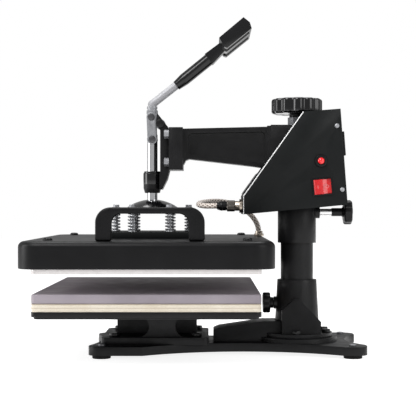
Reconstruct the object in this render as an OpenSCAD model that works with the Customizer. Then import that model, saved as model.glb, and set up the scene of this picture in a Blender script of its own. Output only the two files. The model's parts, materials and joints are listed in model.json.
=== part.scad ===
// Swing-away heat press: a base with a padded lower platen, a post, and a swinging arm that
// carries a toggle lever, a spring-mounted heated platen and a control box. Millimetres.
// +X points to the back of the machine and +Z up. The origin is under the middle of the machine.

/* [Platens] */
// Front-to-back width of both platens
platen_w = 300; // [290:2:306]
// Side-to-side depth of both platens
platen_d = 380; // [360:5:390]
// How far the head cover stands out past the hot plate at the front and back
cover_lip_x = 18; // [14:1:20]
// How far the head cover stands out past the hot plate at each side
cover_lip_y = 15; // [10:1:20]
// Height of the head cover
cover_h = 36; // [34:1:38]
// Thickness of the silicone pad
pad_t = 12.4; // [10:0.2:13]
// Thickness of the foam layer under the pad
foam_t = 10.7; // [8:0.1:11]
// Open gap between the pad and the hot plate
press_gap = 26; // [26:0.5:27]

/* [Base] */
// Width of the base casting across its feet
base_w = 190; // [180:2:200]
// Thickness of the base casting
base_t = 12; // [10:1:13]
// Height of the rubber feet
foot_h = 5; // [4:0.5:6]

/* [Post and arm] */
// Outer diameter of the post
post_d = 47; // [46:0.5:47]
// Outer diameter of the swivel sleeve
sleeve_d = 55.5; // [55:0.5:56]
// Distance from the post axis to the ram axis
reach = 211; // [209:0.5:212]
// Diameter of the ram
ram_d = 15; // [14:0.5:15]
// Diameter of the pressure knob
knob_d = 74; // [68:1:74]

/* [Lever] */
// Diameter of the lever bar
bar_d = 12; // [10:0.5:12]
// Width of the cross grip
grip_w = 104; // [90:2:110]

/* [Hidden] */
$fn = 64;
eps = 0.01;

// Colours
cast_black = [0.10, 0.10, 0.11];
sheet_black = [0.07, 0.07, 0.08];
plastic_black = [0.05, 0.05, 0.06];
zinc = [0.72, 0.73, 0.75];
bronze = [0.72, 0.52, 0.28];

// Running clearance on a radius
run = 0.05;

// Heights of the base, the post and the lower platen
plate_top = foot_h + base_t;
boss_r = 58;
boss_top = plate_top + 6;
spine_half = 24;
socket_flange_r = 51;
socket_flange_t = 6;
socket_bolt_circle = 43.5;
socket_top = 105;
socket_r_low = 33;
socket_r_top = 28.5;
post_r = post_d / 2;
post_bore_r = 19.5;
post_foot = plate_top;
post_top = 212.5;
washer_t = 3.4;
sleeve_r = sleeve_d / 2;
sleeve_low = 158.6;
sleeve_top = 216;
bush_r = 25;
pad_top = 97;
pad_low = pad_top - pad_t;
foam_low = pad_low - foam_t;
tray_t = 9.5;
tray_low = foam_low - tray_t;

// Front-to-back places, measured from the post axis
platen_x = -210;
pedestal_x = -204.5;
pedestal_top_w = 140;
pedestal_d = 136;
platen_front = platen_x - platen_w / 2;
cover_front = platen_front - cover_lip_x;
cover_d = platen_d + 2 * cover_lip_y;
cover_w = platen_w + 2 * cover_lip_x;
base_front = -296;
base_rear = 92;
post_x = -(cover_front + base_rear) / 2;

// Heights of the heated head
hot_low = pad_top + press_gap;
hot_t = 12;
cover_low = hot_low + 7;
cover_top = cover_low + cover_h;
cover_wall = 1.8;
spring_plate_t = 9;
spring_low = cover_top + spring_plate_t;
spring_h = 30;
dome_low = spring_low + spring_h;
dome_rim_t = 4.5;
dome_top = 222 + hot_low - 123;
spring_circle = 53;

// Ram and toggle. The lever turns about pin_a, pin_k joins it to the link, pin_r is on the ram.
ram_x = -reach;
ram_r = ram_d / 2;
pin_a = [-199, 331];
pin_k = [ram_x - 1.3, 341.2];
pin_r = [ram_x, 309];
pin_rad = 4;
hub_half = 7.5;
link_in = 8;
link_out = 11;
web_in = 12.5;
web_out = 18.5;
// Bolted joint between the arm and the toggle head
flange_x = -181;
flange_half = 32;
head_flange_t = 5;

// Arm, its hinge and its adjusting screw
hinge = [40, 272];
hinge_r = 7;
cheek_in = 25;
cheek_out = 31;
arm_half = 24.4;
screw_r = 8;
trunnion_z = 244;
arm_top = 329;

// Control box: side outline from the front lower corner, walls and panel half-width
box_half = 60;
sheet_t = 1.5;
box_outline = [[-80, 200], [-80, 227], [4, 345], [57, 349], [67, 213.6]];
slant_foot = box_outline[1];
slant_top = box_outline[2];
slant_angle = atan2(slant_top[1] - slant_foot[1], slant_top[0] - slant_foot[0]);
box_tilt = atan2(box_outline[4][1] - box_outline[0][1], box_outline[4][0] - box_outline[0][0]);
lamp_at = [29.5, 275.5];
rocker_at = [31.5, 239];
rocker_w = 25;
rocker_h = 21;
plug_at = [-80, -35, 212];
swing_knob_z = 203;
socket_knob_z = 71;

// Heater lead: diameter and route from the plug to the head cover
lead_d = 8;
lead_route = [
    [-117, -35, 212], [-123, -35, 212], [-133, -32, 212], [-140, -25, 213], [-143, -14, 214],
    [-143, 2, 215], [-142, 16, 216], [-139, 30, 217], [-133, 44, 218], [-124, 57, 219],
    [-112, 68, 219], [-98, 75, 217], [-84, 77, 212], [-72, 77, 205], [-62, 77, 196],
    [-55, 77, 185], [-52, 77, 174]
];
lead_end = lead_route[len(lead_route) - 1];

// --- Helpers ---------------------------------------------------------------------------------

// Everything is drawn from the post axis and moved as a whole
module place() {
    translate([post_x, 0, 0]) children();
}

// A side outline drawn in X and Z, given a thickness from y0 to y1
module side(y0, y1) {
    translate([0, y1, 0]) rotate([90, 0, 0]) linear_extrude(y1 - y0) children();
}

// A round bar along Y through a point [x, z]
module cross_bar(at, r, y0, y1) {
    side(y0, y1) translate(at) circle(r);
}

// A flat bar with round ends between two points
module strip(a, b, r) {
    d = b - a;
    translate(a) circle(r);
    translate(b) circle(r);
    translate(a) rotate(atan2(d[1], d[0])) translate([0, -r]) square([norm(d), 2 * r]);
}

// A rectangle with round corners, centred
module round_rect(w, d, r) {
    square([w - 2 * r, d], center = true);
    square([w, d - 2 * r], center = true);
    for (sx = [-1, 1], sy = [-1, 1])
        translate([sx * (w / 2 - r), sy * (d / 2 - r)]) circle(r);
}

// A hexagon head, across flats
module hex(flats, h) {
    cylinder(d = flats / cos(30), h = h, $fn = 6);
}

// A tube standing on the XY plane
module tube(r_out, r_in, h) {
    difference() {
        cylinder(r = r_out, h = h);
        translate([0, 0, -1]) cylinder(r = r_in, h = h + 2);
    }
}

// A hand knob with lobes, its axis along Z and its face up
module lobed_knob(r, h, lobes) {
    difference() {
        cylinder(r = r, h = h);
        for (i = [0 : lobes - 1])
            rotate(i * 360 / lobes) translate([r * 1.08, 0, -1]) cylinder(r = r * 0.17, h = h + 2);
    }
}

// --- Base ------------------------------------------------------------------------------------

foot_x = [-278, 72];
foot_y = base_w / 2 - 17;
side_cut_r = 228;
end_cut_r = 107;

// The four feet places
module at_feet() {
    for (x = foot_x, sy = [-1, 1]) translate([x, sy * foot_y, 0]) children();
}

// Four-lobed plan of the base: hollow sides, hollow back and a slightly hollow front
module base_plan() {
    difference() {
        translate([(base_front + base_rear) / 2, 0])
            round_rect(base_rear - base_front, base_w, 16);
        for (sy = [-1, 1]) translate([-80, sy * (47 + side_cut_r)]) circle(side_cut_r, $fn = 160);
        translate([base_rear - 22 + end_cut_r, 0]) circle(end_cut_r, $fn = 96);
        translate([base_front + 12 - 2 * end_cut_r, 0]) circle(2 * end_cut_r, $fn = 160);
    }
}

module base_casting() {
    color(cast_black) place() difference() {
        union() {
            translate([0, 0, foot_h]) linear_extrude(base_t) base_plan();
            translate([0, 0, foot_h]) cylinder(r = boss_r, h = boss_top - foot_h, $fn = 96);
            // spine from the boss to the front pedestal
            difference() {
                side(-spine_half, spine_half)
                    polygon([[-122, plate_top - 1], [-122, 33], [-114, 36.5], [-50, 46],
                             [-20, 46], [-20, plate_top - 1]]);
                translate([0, 0, boss_top]) cylinder(r = socket_r_low, h = 40);
            }
        }
        at_feet() cylinder(r = 2.6, h = 60);
        at_socket_bolts() translate([0, 0, boss_top - 14]) cylinder(r = 3, h = 20);
        at_pedestal_bolts() translate([0, 0, plate_top - 9]) cylinder(r = 4, h = 12);
        translate([0, 0, post_foot]) cylinder(r = post_r, h = 20);
    }
}

module rubber_feet() {
    color("black") place() at_feet() difference() {
        cylinder(r = 13, h = foot_h);
        translate([0, 0, 2]) cylinder(r = 2.6, h = foot_h);
    }
}

module foot_screws() {
    color(zinc) place() at_feet() {
        translate([0, 0, 2.2]) cylinder(r = 2.5, h = plate_top - 2.2 + eps);
        translate([0, 0, plate_top]) cylinder(r = 5, h = 2.6);
    }
}

// Side web of the socket, with the sloping cast shoulder
module socket_web() {
    polygon([[-24, boss_top], [-24, 62], [-7, 78], [1, 78], [32, 46], [32, boss_top]]);
}

module post_socket() {
    color(cast_black) place() difference() {
        union() {
            translate([0, 0, boss_top])
                cylinder(r1 = socket_r_low, r2 = socket_r_top, h = socket_top - boss_top);
            // bolted flange, open at the front for the spine
            difference() {
                translate([0, 0, boss_top]) cylinder(r = socket_flange_r, h = socket_flange_t);
                side(-spine_half - run, spine_half + run) translate([-60, 0]) square([60, 60]);
            }
            for (sy = [-1, 1]) side(sy * 31 - 5, sy * 31 + 5) socket_web();
            // boss for the lock knob
            translate([-34, 0, socket_knob_z]) rotate([0, 90, 0]) cylinder(r = 9, h = 12);
        }
        translate([0, 0, 10]) cylinder(r = post_r, h = 120);
        translate([-60, 0, socket_knob_z]) rotate([0, 90, 0]) cylinder(r = 4 + run, h = 60);
        at_socket_bolts() translate([0, 0, boss_top - 1]) cylinder(r = 3, h = 10);
    }
}

module post() {
    color(cast_black) place() translate([0, 0, post_foot])
        tube(post_r, post_bore_r, post_top - post_foot);
}

module thrust_washer() {
    color(bronze) place() translate([0, 0, post_top]) tube(post_r - 0.3, 12, washer_t);
}

// Bolt places: round the socket, down through the pedestal's foot, and up into the tray
module at_socket_bolts() {
    for (a = [20, 95, 265, 340]) rotate(a) translate([socket_bolt_circle, 0, 0]) children();
}
module at_pedestal_bolts() {
    for (x = [-262, -146], y = [-50, 50]) translate([x, y, 0]) children();
}

module pedestal() {
    foot_t = 10;
    web_low = plate_top + foot_t;
    web_top = tray_low - 8;
    web_mid = (web_low + web_top) / 2;
    notch_r = (web_top - web_low) / 2;
    color(cast_black) place() difference() {
        union() {
            translate([pedestal_x, 0, plate_top])
                linear_extrude(foot_t) round_rect(pedestal_top_w + 11, pedestal_d, 8);
            translate([pedestal_x, 0, web_top])
                linear_extrude(tray_low - web_top) round_rect(pedestal_top_w, pedestal_d, 8);
            // two waisted side webs
            for (sy = [-1, 1]) side(sy * 54 - 5, sy * 54 + 5) difference() {
                translate([-250, web_low - eps]) square([98, web_top - web_low + 2 * eps]);
                for (x = [-213 - notch_r, -176 + notch_r]) translate([x, web_mid]) circle(notch_r);
                translate([-270, web_low]) square([57 - notch_r, 2 * notch_r]);
                translate([-176 + notch_r, web_low]) square([57 - notch_r, 2 * notch_r]);
            }
            // cross web down the middle
            translate([-262, -4, web_low - eps])
                cube([116, 8, web_top - web_low + 2 * eps]);
        }
        at_pedestal_bolts() cylinder(r = 4, h = 80);
    }
}

module base_bolts() {
    color(plastic_black) place() {
        at_socket_bolts() {
            translate([0, 0, boss_top - 13]) cylinder(r = 3, h = 13 + socket_flange_t + eps);
            translate([0, 0, boss_top + socket_flange_t]) hex(11, 5);
        }
        at_pedestal_bolts() {
            translate([0, 0, plate_top - 8]) cylinder(r = 4, h = 18 + eps);
            translate([0, 0, plate_top + 10]) hex(13, 5);
            translate([0, 0, tray_low - 8]) cylinder(r = 4, h = 12);
            translate([0, 0, tray_low - 13]) hex(13, 5 + eps);
        }
    }
}

// Plate with a rim turned in below it, and a pad where it sits on the pedestal
module lower_tray() {
    lip = 3;
    plate = 3.5;
    color(cast_black) place() difference() {
        union() {
            difference() {
                union() {
                    translate([platen_x, 0, tray_low + lip])
                        linear_extrude(tray_t - lip) round_rect(platen_w, platen_d, 8);
                    translate([platen_x, 0, tray_low])
                        linear_extrude(lip) round_rect(platen_w - 2 * lip, platen_d - 2 * lip, 8);
                }
                translate([platen_x, 0, tray_low - 1]) linear_extrude(tray_t - plate + 1)
                    round_rect(platen_w - 4 * lip, platen_d - 4 * lip, 6);
            }
            translate([pedestal_x, 0, tray_low])
                linear_extrude(tray_t - 1) round_rect(pedestal_top_w, pedestal_d, 8);
        }
        at_pedestal_bolts() translate([0, 0, tray_low - 1]) cylinder(r = 4, h = 5.5);
    }
}

module foam_layer() {
    color([0.89, 0.86, 0.80]) place() translate([platen_x, 0, foam_low])
        linear_extrude(foam_t) round_rect(platen_w - 1, platen_d - 1, 6);
}

module silicone_pad() {
    color([0.45, 0.43, 0.46]) place() translate([platen_x, 0, pad_low])
        linear_extrude(pad_t) round_rect(platen_w, platen_d, 6);
}

module socket_lock_knob() {
    color(plastic_black) place() translate([0, 0, socket_knob_z]) rotate([0, -90, 0]) {
        translate([0, 0, 39]) lobed_knob(15, 11, 7);
        translate([0, 0, 34.5]) cylinder(r = 8, h = 5);
        translate([0, 0, post_r + 0.1]) cylinder(r = 4, h = 16);
    }
}

// --- Swivel ----------------------------------------------------------------------------------

// Hole for the swing lock stud, through the back of the sleeve
module swing_stud_hole() {
    translate([10, 0, swing_knob_z]) rotate([0, 90, 0]) cylinder(r = 5 + run, h = 60);
}

module swivel_sleeve() {
    color(cast_black) place() difference() {
        union() {
            translate([0, 0, sleeve_low]) cylinder(r = sleeve_r, h = sleeve_top - sleeve_low);
            translate([20, 0, swing_knob_z]) rotate([0, 90, 0]) cylinder(r = 9, h = 13);
        }
        translate([0, 0, sleeve_low - 1]) cylinder(r = bush_r, h = 80);
        swing_stud_hole();
    }
}

module swivel_bush() {
    color(bronze) place() difference() {
        translate([0, 0, sleeve_low]) tube(bush_r, post_r + run, sleeve_top - sleeve_low);
        swing_stud_hole();
    }
}

module swivel_yoke() {
    floor_t = 8;
    color(cast_black) place() difference() {
        union() {
            translate([0, 0, sleeve_top]) cylinder(r = sleeve_r, h = floor_t);
            translate([-24, -cheek_out, sleeve_top]) cube([80, 2 * cheek_out, floor_t]);
            for (sy = [-1, 1]) side(min(sy * cheek_in, sy * cheek_out), max(sy * cheek_in, sy * cheek_out))
                polygon([[-24, sleeve_top], [-24, 258], [16, 296], [56, 296], [56, sleeve_top]]);
        }
        cross_bar(hinge, hinge_r, -40, 40);
        cross_bar([0, trunnion_z], 13, -40, 40);
    }
}

module arm_hinge_pin() {
    color(zinc) place() {
        cross_bar(hinge, hinge_r, -cheek_out, cheek_out);
        for (y = [-cheek_out - 3, cheek_out]) cross_bar(hinge, hinge_r + 3, y, y + 3);
    }
}

// Cross pin that the pressure screw is threaded through. Its hole leaves room for the arm's tilt.
module lift_trunnion() {
    color(zinc) place() difference() {
        cross_bar([0, trunnion_z], 13, -cheek_out, cheek_out);
        translate([0, 0, trunnion_z - 30]) cylinder(r = screw_r + 1.8, h = 60);
    }
}

module swing_lock_knob() {
    color(plastic_black) place() translate([0, 0, swing_knob_z]) rotate([0, 90, 0]) {
        translate([0, 0, 68]) lobed_knob(18, 12, 7);
        translate([0, 0, 51]) cylinder(r = 6, h = 17);
        translate([0, 0, post_r + 0.1]) cylinder(r = 5, h = 30);
    }
}

// --- Arm -------------------------------------------------------------------------------------

module swing_arm() {
    flange_back = -166;
    block_front = -39;
    block_back = 56;
    color(cast_black) place() difference() {
        union() {
            // beam
            side(-15, 15) polygon([
                [flange_back - 2, 272], [flange_back - 2, 324], [block_front + 1, 327],
                [block_front + 1, 266.5], [-53, 268], [-157, 280], [-162, 278], [-165, 272]]);
            side(-flange_half, flange_half)
                translate([flange_x, 264]) square([flange_back - flange_x, 61]);
            // rear block, with a ridge on its front corners
            side(-arm_half, arm_half)
                translate([block_front, 262]) square([block_back - block_front, arm_top - 262]);
            side(-19, 19) translate([block_front - 5, 266]) square([6, arm_top - 267]);
            // lugs that carry the control box
            for (y = [-box_half + sheet_t, arm_half - 1])
                side(y, y + box_half - sheet_t - arm_half + 1)
                    translate([12, 305]) square([18, 15]);
        }
        // side pockets of the beam
        for (y = [-20, 5]) side(y, y + 15)
            polygon([[-158, 288], [-153, 286], [-51, 274.5], [-47, 278], [-47, 316],
                     [-51, 319.5], [-155, 317], [-158, 314]]);
        translate([0, 0, 250]) cylinder(r = screw_r + run, h = 100);
        cross_bar(hinge, hinge_r + run, -40, 40);
        at_flange_bolts() rotate([0, 90, 0]) translate([0, 0, -2]) cylinder(r = 4, h = 10);
    }
}

// Four bolts through the flange, from its front face
module at_flange_bolts() {
    for (y = [-25.5, 25.5], z = [275, 315]) translate([flange_x, y, z]) children();
}

module toggle_head() {
    bush_low = 231;
    bush_high = 260;
    color(cast_black) place() difference() {
        union() {
            side(-flange_half, flange_half)
                translate([flange_x - head_flange_t, 264]) square([head_flange_t, 61]);
            // two webs that hold the lever pin
            for (y = [-web_out, web_in]) side(y, y + web_out - web_in) {
                polygon([[-199, 240], [-199, 322], [-204, 328], [-204, 344], [-203, 346],
                         [-187, 325.5], [-185, 300], [-185, 265], [-189, 250], [-196, 238]]);
            }
            // bridge from the webs to the ram bushing
            side(-web_out, web_out)
                polygon([[-200, 236], [-200, 258], [-191, 268], [-185, 268], [-190, 248], [-196, 236]]);
            translate([ram_x, 0, bush_low]) cylinder(r1 = 11, r2 = 13, h = 7);
            translate([ram_x, 0, bush_low + 7]) cylinder(r = 13, h = bush_high - bush_low - 7);
        }
        translate([ram_x, 0, bush_low - 1]) cylinder(r = 10, h = 40);
        cross_bar(pin_a, pin_rad, -30, 30);
        at_flange_bolts() rotate([0, -90, 0]) translate([0, 0, -1]) cylinder(r = 4, h = 12);
    }
}

module flange_bolts() {
    color(zinc) place() at_flange_bolts() rotate([0, -90, 0]) {
        translate([0, 0, -8]) cylinder(r = 4, h = 8 + head_flange_t + eps);
        translate([0, 0, head_flange_t]) cylinder(r = 6.4, h = 1);
        translate([0, 0, head_flange_t + 1 - eps]) hex(11, 6);
    }
}

module ram_bushing() {
    color(plastic_black) place() translate([ram_x, 0, 231]) {
        tube(10, ram_r + run, 29);
        translate([0, 0, 29]) tube(12, ram_r + run, 2);
    }
}

module lever_pivot_pin() {
    color(zinc) place() {
        cross_bar(pin_a, pin_rad, -web_out, web_out);
        for (y = [-web_out - 2, web_out]) cross_bar(pin_a, 6, y, y + 2);
    }
}

// --- Control box -----------------------------------------------------------------------------

// Where two lines meet: through p along d, and through q along e
function meet(p, d, q, e) =
    p + d * ((q[0] - p[0]) * e[1] - (q[1] - p[1]) * e[0]) / (d[0] * e[1] - d[1] * e[0]);
function inward(d) = [d[1], -d[0]] / norm(d);
function inset(pts, t) = [
    for (i = [0 : len(pts) - 1])
        let (n = len(pts), d = pts[i] - pts[(i + n - 1) % n], e = pts[(i + 1) % n] - pts[i])
        meet(pts[i] + t * inward(d), d, pts[i] + t * inward(e), e)
];

// A frame on the sloping front: x up the slope, z straight out of it
module on_slant() {
    translate([slant_foot[0], 0, slant_foot[1]]) rotate([0, -slant_angle, 0]) children();
}

// A frame on the near side panel: x along it, y up, z straight out of it
module on_near(at) {
    translate([at[0], -box_half, at[1]]) rotate([0, -box_tilt, 0]) rotate([90, 0, 0]) children();
}

// A frame on the back of the box: x down it, z straight out of it
module on_back(y, z) {
    top = box_outline[3];
    low = box_outline[4];
    slope = (low[0] - top[0]) / (top[1] - low[1]);
    translate([top[0] + (top[1] - z) * slope, y, z]) rotate([0, 90 - atan(slope), 0]) children();
}

screen_mid = 20.5;
inlet_y = -44.5;
inlet_z = 300;
rocker_hole = [rocker_w + 1.6, rocker_h + 1.6];

module box_shell() {
    color(sheet_black) place() difference() {
        side(-box_half + sheet_t, box_half) polygon(box_outline);
        side(-box_half, box_half - sheet_t) polygon(inset(box_outline, sheet_t));
        // way in for the arm, and room round the knob and the sleeve
        side(-28, 28) polygon([[-75, 264], [-75, 360], [42, 360], [42, 335], [-30, 264]]);
        translate([0, 0, 335]) cylinder(r = 40, h = 30);
        translate([0, 0, 190]) cylinder(r = 32, h = 40);
        side(-11, 11) translate([0, 190]) square([41, 30]);
        on_slant() translate([6, -38, -10]) cube([29, 76, 20]);
        on_back(inlet_y, inlet_z) translate([-14.5, -12.5, -10]) cube([29, 25, 20]);
        translate([-90, plug_at[1], plug_at[2]]) rotate([0, 90, 0]) cylinder(r = 6, h = 20);
        // cooling slots in the far side
        for (i = [0 : 5]) translate([-2 + 9 * i, box_half - 5, 262 - 3 * i]) cube([4, 10, 44]);
    }
}

module at_box_screws() {
    for (p = [[52, 325], [59.5, 235]]) translate([p[0], -box_half, p[1]]) rotate([90, 0, 0]) children();
}

module box_near_panel() {
    color(sheet_black) place() difference() {
        side(-box_half, -box_half + sheet_t) polygon(box_outline);
        on_near(lamp_at) translate([0, 0, -5]) cylinder(r = 6, h = 10);
        on_near(rocker_at) cube([rocker_hole[0], rocker_hole[1], 10], center = true);
        at_box_screws() translate([0, 0, -5]) cylinder(r = 2, h = 10);
    }
}

module box_screws() {
    color(zinc) place() at_box_screws() {
        translate([0, 0, -sheet_t]) cylinder(r = 2, h = sheet_t + eps);
        intersection() {
            cylinder(r = 3.3, h = 2);
            translate([0, 0, -2.2]) sphere(4.2);
        }
    }
}

button_y = [-19, -27, -35];
button_r = 2.6;
button_proud = 1;
bezel_t = 1.6;

// Front unit with its keys' holes and a recess for the screen
module controller_module() {
    color(plastic_black) place() on_slant() difference() {
        union() {
            translate([screen_mid - 18, -42, 0]) cube([36, 84, bezel_t]);
            translate([6, -38, -14]) cube([29, 76, 14 + eps]);
        }
        translate([screen_mid - 13, -12, bezel_t - 1.2]) cube([26, 50, 5]);
        for (y = button_y) translate([screen_mid, y, -3]) cylinder(r = button_r + run, h = 10);
    }
}

module controller_screen() {
    color([0.35, 0.45, 0.40]) place() on_slant()
        translate([screen_mid - 13, -12, bezel_t - 1.2]) cube([26, 50, 0.8]);
}

module key_button(i) {
    color([0.75, 0.75, 0.77]) place() on_slant()
        translate([screen_mid, button_y[i], -1.9]) cylinder(r = button_r, h = 1.9 + bezel_t + button_proud);
}
module button_up() { key_button(0); }
module button_set() { key_button(1); }
module button_down() { key_button(2); }

lens_r = 4.5;
module lamp_bezel() {
    color(plastic_black) place() on_near(lamp_at) {
        tube(8.5, lens_r, 2);
        translate([0, 0, -8]) tube(6, lens_r, 8 + eps);
    }
}

module lamp_lens() {
    color("red") place() on_near(lamp_at) {
        translate([0, 0, -6]) cylinder(r = lens_r, h = 8);
        intersection() {
            translate([0, 0, 2 - eps]) cylinder(r = lens_r, h = 5);
            translate([0, 0, -1.5]) sphere(5.7);
        }
    }
}

module rocker_frame() {
    color(plastic_black) place() on_near(rocker_at) difference() {
        union() {
            translate([-rocker_w / 2 - 1.7, -rocker_h / 2 - 1.7, 0])
                cube([rocker_w + 3.4, rocker_h + 3.4, 1.2]);
            translate([-rocker_hole[0] / 2, -rocker_hole[1] / 2, -15])
                cube([rocker_hole[0], rocker_hole[1], 15 + eps]);
        }
        translate([-rocker_w / 2 - 0.2, -rocker_h / 2 - 0.2, -9])
            cube([rocker_w + 0.4, rocker_h + 0.4, 20]);
        translate([0, 0, rocker_pivot]) rotate([90, 0, 0])
            cylinder(r = rocker_axle_r + run, h = 2 * rocker_h, center = true);
    }
}

// The rocker rests tipped one way about its pivot
rocker_pivot = -2;
rocker_axle_r = 1.2;
rocker_rest = 7;
module rocker() {
    half = rocker_w / 2 - 0.2;
    color("red") place() on_near(rocker_at)
        translate([0, 0, rocker_pivot]) rotate([0, rocker_rest, 0]) {
            translate([0, rocker_h / 2, -rocker_pivot]) rotate([90, 0, 0])
                linear_extrude(rocker_h)
                    polygon([[-half, -3.5], [-half, 0.6], [0, 2.4], [half, 0.6], [half, -3.5],
                             [0, -6]]);
            rotate([90, 0, 0]) cylinder(r = rocker_axle_r, h = rocker_h + 1.4, center = true);
        }
}

module power_inlet() {
    color(plastic_black) place() on_back(inlet_y, inlet_z) {
        difference() {
            union() {
                translate([-17, -13.5, 0]) cube([34, 27, 3]);
                translate([-14.5, -12.5, -20]) cube([29, 25, 20 + eps]);
            }
            translate([-12, -8.5, -16]) cube([24, 17, 30]);
        }
        for (p = [[-6, -4], [-6, 4], [3, 0]]) translate([p[0] - 1, p[1] - 2, -17]) cube([2, 4, 9]);
    }
}

board_y = 50;
board_t = 1.6;
module at_board_screws(y) {
    for (x = [-18, 46], z = [230, 296]) translate([x, y, z]) rotate([-90, 0, 0]) children();
}

// Power board with its relay, transformer and capacitors, on the far side of the box
module circuit_board() {
    color([0.10, 0.35, 0.18]) place() {
        difference() {
            translate([-22, board_y, 226]) cube([72, board_t, 74]);
            at_board_screws(board_y - 1) cylinder(r = 1.6, h = 5);
        }
        translate([-14, board_y - 14, 234]) cube([28, 14 + eps, 24]);
        translate([22, board_y - 13, 236]) cube([20, 13 + eps, 16]);
        for (x = [-4, 12]) translate([x, board_y - 12, 276]) rotate([-90, 0, 0])
            cylinder(r = 5, h = 12 + eps);
        translate([24, board_y - 9, 268]) cube([18, 9 + eps, 24]);
        at_board_screws(board_y + board_t) tube(3.5, 1.6, box_half - sheet_t - board_y - board_t);
    }
}

module connector_socket() {
    color(zinc) place() translate(plug_at) rotate([0, -90, 0]) {
        translate([0, 0, -8]) tube(6, 4, 8 + eps);
        difference() {
            union() {
                hex(17, 5);
                translate([0, 0, 5 - eps]) cylinder(r = 7, h = 6);
            }
            translate([0, 0, -1]) cylinder(r = 4, h = 20);
        }
    }
}

module connector_plug() {
    color(plastic_black) place() translate(plug_at) rotate([0, -90, 0]) {
        translate([0, 0, -6]) cylinder(r = 4, h = 17 + eps);
        translate([0, 0, 11]) cylinder(r = 8, h = 12);
        translate([0, 0, 23 - eps]) cylinder(r = 6.4, h = 7);
        translate([0, 0, 30 - eps]) cylinder(r1 = 6.8, r2 = 4.6, h = 7);
    }
}

// --- Heater lead -----------------------------------------------------------------------------

function unit(v) = v / norm(v);
// Direction of the route at point i, straight at both ends
function heading(p, i) =
    i == 0 ? unit(p[1] - p[0])
    : i == len(p) - 1 ? [0, 0, -1]
    : unit(unit(p[i + 1] - p[i]) + unit(p[i] - p[i - 1]));
// Carry a sideways vector along the route without twist
function sideways(p, i) =
    i == 0 ? [0, 0, 1]
    : let (v = sideways(p, i - 1), t = heading(p, i)) unit(v - (v * t) * t);
function ring(p, i, r, n) =
    let (t = heading(p, i), u = sideways(p, i), w = cross(t, u))
    [for (k = [0 : n - 1]) p[i] + r * (cos(360 * k / n) * u + sin(360 * k / n) * w)];

module swept_cord(p, d, n) {
    last = len(p) - 1;
    polyhedron(
        points = [for (i = [0 : last]) each ring(p, i, d / 2, n)],
        faces = concat(
            [[for (k = [0 : n - 1]) k]],
            [for (i = [0 : last - 1], k = [0 : n - 1])
                [i * n + k, (i + 1) * n + k, (i + 1) * n + (k + 1) % n, i * n + (k + 1) % n]],
            [[for (k = [n - 1 : -1 : 0]) last * n + k]]));
}

module heater_lead() {
    color([0.85, 0.80, 0.72]) place() swept_cord(lead_route, lead_d, 12);
}

module cable_gland() {
    color(zinc) place() translate([lead_end[0], lead_end[1], cover_top]) {
        translate([0, 0, -cover_wall - 4]) cylinder(r = 4.5, h = cover_wall + 4 + eps);
        hex(13, 4);
        translate([0, 0, 4 - eps]) cylinder(r = 5.6, h = lead_end[2] - cover_top - 4);
    }
}

// --- Pressure knob ---------------------------------------------------------------------------

module pressure_knob() {
    knob_low = 346;
    color(plastic_black) place() difference() {
        union() {
            translate([0, 0, knob_low]) lobed_knob(knob_d / 2, 22, 12);
            translate([0, 0, knob_low - 5]) cylinder(r = 11, h = 5 + eps);
        }
        translate([0, 0, knob_low - 10]) cylinder(r = screw_r, h = 22);
    }
}

module pressure_screw() {
    color(zinc) place() {
        translate([0, 0, 234]) cylinder(r = screw_r, h = 358 - 234);
        translate([0, 0, arm_top + 0.3]) cylinder(r = 13, h = 1.7);
        translate([0, 0, arm_top + 2 - eps]) hex(23, 10);
    }
}

// --- Lever -----------------------------------------------------------------------------------

neck_x = pin_k[0] + 1;
bend_at = [neck_x, 360.5];
grip_start = [-176, 387.5];
grip_end = [-124, 429.5];
bar_end = grip_start + 0.75 * (grip_end - grip_start);
grip_r = 8.9;
grip_head = [[-114, 450.5], [-84, 475.5], [-79.5, 479.3], [-70.5, 472], [-67.8, 463.5],
             [-102.5, 435.5], [-107, 437]];
grip_neck = [[-134.5, 432.9], [-123, 418.5]];

// A round bar between two points of the side outline, r1 to r2
module bar_between(a, b, r1, r2) {
    d = b - a;
    translate([a[0], 0, a[1]]) rotate([0, 90 - atan2(d[1], d[0]), 0])
        cylinder(r1 = r1, r2 = r2, h = norm(d));
}

module lever_hub() {
    color(zinc) place() difference() {
        side(-hub_half, hub_half) {
            strip(pin_a, pin_k, 7.2);
            translate([neck_x - 7, pin_k[1] - 6]) square([14, 346 - pin_k[1] + 6]);
        }
        cross_bar(pin_a, pin_rad + run, -30, 30);
        cross_bar(pin_k, pin_rad + run, -30, 30);
    }
}

module lever_nut() {
    color(zinc) place() translate([neck_x, 0, 346]) difference() {
        union() {
            hex(14.4, 5.5);
            translate([0, 0, 7.5]) cylinder(r = 7.6, h = 3.6);
            translate([0, 0, 5.5 - eps]) cylinder(r = 6.8, h = 2 + 2 * eps);
        }
        translate([0, 0, -1]) cylinder(d = bar_d + 2 * run, h = 30);
        translate([0, 0, 7]) cylinder(d = bar_d + 1, h = 10);
    }
}

module lever_bar() {
    r = bar_d / 2;
    color(zinc) place() {
        bar_between([neck_x, 346], bend_at, r, r);
        translate([bend_at[0], 0, bend_at[1]]) sphere(r + 0.3);
        bar_between(bend_at, bar_end, r, r);
    }
}

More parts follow.
